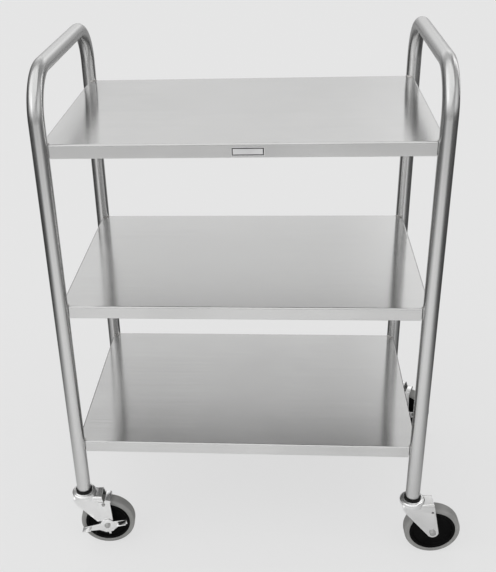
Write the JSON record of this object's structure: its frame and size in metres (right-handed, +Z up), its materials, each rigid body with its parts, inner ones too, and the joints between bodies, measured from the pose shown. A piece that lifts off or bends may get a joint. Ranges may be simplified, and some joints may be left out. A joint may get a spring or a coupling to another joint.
{
  "type": "utility cart",
  "caption": "Stainless utility cart: tubular end frames that form push handles, flat shelves with turned-down edges, and swivel casters, some with a pedal brake.",
  "frame": {"origin": "on the floor, midway between the four legs", "axes": "+Z up, +X along the long side of the shelves, +Y from the front edge to the back edge"},
  "size_m": [0.7231, 0.4499, 0.9112],
  "materials": {
    "tube_steel": "satin polished stainless tube",
    "shelf_steel": "brushed stainless sheet",
    "weld_steel": "ground and polished weld",
    "plate_metal": "satin plate",
    "caster_zinc": "bright zinc plated pressing",
    "fastener_steel": "zinc plated steel",
    "ball_steel": "polished ball steel",
    "black_rubber": "black rubber",
    "wheel_plastic": "black moulded wheel centre",
    "tread_rubber": "grey non-marking tread"
  },
  "bodies": {
    "root": {"left_end_frame": "tube_steel", "right_end_frame": "tube_steel", "bottom_shelf": "shelf_steel", "middle_shelf": "shelf_steel", "top_shelf": "shelf_steel", "corner_welds": "weld_steel", "nameplate": "plate_metal", "caster_stems": "fastener_steel", "expander_nuts": "fastener_steel", "front_left_expander": "black_rubber", "front_left_upper_race": "caster_zinc", "front_left_ball_ring": "ball_steel", "front_left_lower_race": "caster_zinc", "front_right_expander": "black_rubber", "front_right_upper_race": "caster_zinc", "front_right_ball_ring": "ball_steel", "front_right_lower_race": "caster_zinc", "rear_left_expander": "black_rubber", "rear_left_upper_race": "caster_zinc", "rear_left_ball_ring": "ball_steel", "rear_left_lower_race": "caster_zinc", "rear_right_expander": "black_rubber", "rear_right_upper_race": "caster_zinc", "rear_right_ball_ring": "ball_steel", "rear_right_lower_race": "caster_zinc"},
    "front_left_swivel": {"front_left_fork": "caster_zinc", "front_left_axle_bolt": "fastener_steel", "front_left_axle_nut": "fastener_steel", "front_left_axle_sleeve": "fastener_steel", "front_left_guide_rivet": "fastener_steel"},
    "front_left_wheel": {"front_left_wheel_core": "wheel_plastic", "front_left_tyre": "tread_rubber"},
    "front_left_brake_lever": {"front_left_brake_lever": "caster_zinc"},
    "front_left_brake_slide": {"front_left_brake_slide": "caster_zinc", "front_left_brake_shoe": "caster_zinc"},
    "front_right_swivel": {"front_right_fork": "caster_zinc", "front_right_axle_bolt": "fastener_steel", "front_right_axle_nut": "fastener_steel", "front_right_axle_sleeve": "fastener_steel"},
    "front_right_wheel": {"front_right_wheel_core": "wheel_plastic", "front_right_tyre": "tread_rubber"},
    "rear_left_swivel": {"rear_left_fork": "caster_zinc", "rear_left_axle_bolt": "fastener_steel", "rear_left_axle_nut": "fastener_steel", "rear_left_axle_sleeve": "fastener_steel"},
    "rear_left_wheel": {"rear_left_wheel_core": "wheel_plastic", "rear_left_tyre": "tread_rubber"},
    "rear_right_swivel": {"rear_right_fork": "caster_zinc", "rear_right_axle_bolt": "fastener_steel", "rear_right_axle_nut": "fastener_steel", "rear_right_axle_sleeve": "fastener_steel", "rear_right_guide_rivet": "fastener_steel"},
    "rear_right_wheel": {"rear_right_wheel_core": "wheel_plastic", "rear_right_tyre": "tread_rubber"},
    "rear_right_brake_lever": {"rear_right_brake_lever": "caster_zinc"},
    "rear_right_brake_slide": {"rear_right_brake_slide": "caster_zinc", "rear_right_brake_shoe": "caster_zinc"}
  },
  "joints": [
    {"name": "front_left_swivel_turn", "type": "hinge", "parent": "root", "child": "front_left_swivel", "pos_m": [-0.3048, -0.19685, 0.115], "axis": [0, 0, 1], "continuous": true},
    {"name": "front_left_wheel_spin", "type": "hinge", "parent": "front_left_swivel", "child": "front_left_wheel", "pos_m": [-0.2649, -0.19406, 0.0508], "axis": [-0.0698, 0.9976, 0], "continuous": true},
    {"name": "front_left_lever_rock", "type": "hinge", "parent": "front_left_swivel", "child": "front_left_brake_lever", "pos_m": [-0.2649, -0.19406, 0.0508], "axis": [-0.0698, 0.9976, 0], "range_deg": [0, 23.4]},
    {"name": "front_left_slide_lift", "type": "slide", "parent": "front_left_swivel", "child": "front_left_brake_slide", "axis": [0, 0, 1], "range_m": [0, 0.0009]},
    {"name": "front_right_swivel_turn", "type": "hinge", "parent": "root", "child": "front_right_swivel", "pos_m": [0.3048, -0.19685, 0.115], "axis": [0, 0, 1], "continuous": true},
    {"name": "front_right_wheel_spin", "type": "hinge", "parent": "front_right_swivel", "child": "front_right_wheel", "pos_m": [0.34478, -0.19545, 0.0508], "axis": [-0.0349, 0.9994, 0], "continuous": true},
    {"name": "rear_left_swivel_turn", "type": "hinge", "parent": "root", "child": "rear_left_swivel", "pos_m": [-0.3048, 0.19685, 0.115], "axis": [0, 0, 1], "continuous": true},
    {"name": "rear_left_wheel_spin", "type": "hinge", "parent": "rear_left_swivel", "child": "rear_left_wheel", "pos_m": [-0.26502, 0.19267, 0.0508], "axis": [0.1045, 0.9945, 0], "continuous": true},
    {"name": "rear_right_swivel_turn", "type": "hinge", "parent": "root", "child": "rear_right_swivel", "pos_m": [0.3048, 0.19685, 0.115], "axis": [0, 0, 1], "continuous": true},
    {"name": "rear_right_wheel_spin", "type": "hinge", "parent": "rear_right_swivel", "child": "rear_right_wheel", "pos_m": [0.34239, 0.18317, 0.0508], "axis": [0.342, 0.9397, 0], "continuous": true},
    {"name": "rear_right_lever_rock", "type": "hinge", "parent": "rear_right_swivel", "child": "rear_right_brake_lever", "pos_m": [0.34239, 0.18317, 0.0508], "axis": [0.342, 0.9397, 0], "range_deg": [0, 23.4]},
    {"name": "rear_right_slide_lift", "type": "slide", "parent": "rear_right_swivel", "child": "rear_right_brake_slide", "axis": [0, 0, 1], "range_m": [0, 0.0009]}
  ],
  "couplings": [
    {"joint": "front_left_slide_lift", "follows": "front_left_lever_rock", "m_per_rad": 0.0022015},
    {"joint": "rear_right_slide_lift", "follows": "rear_right_lever_rock", "m_per_rad": 0.0022015}
  ]
}
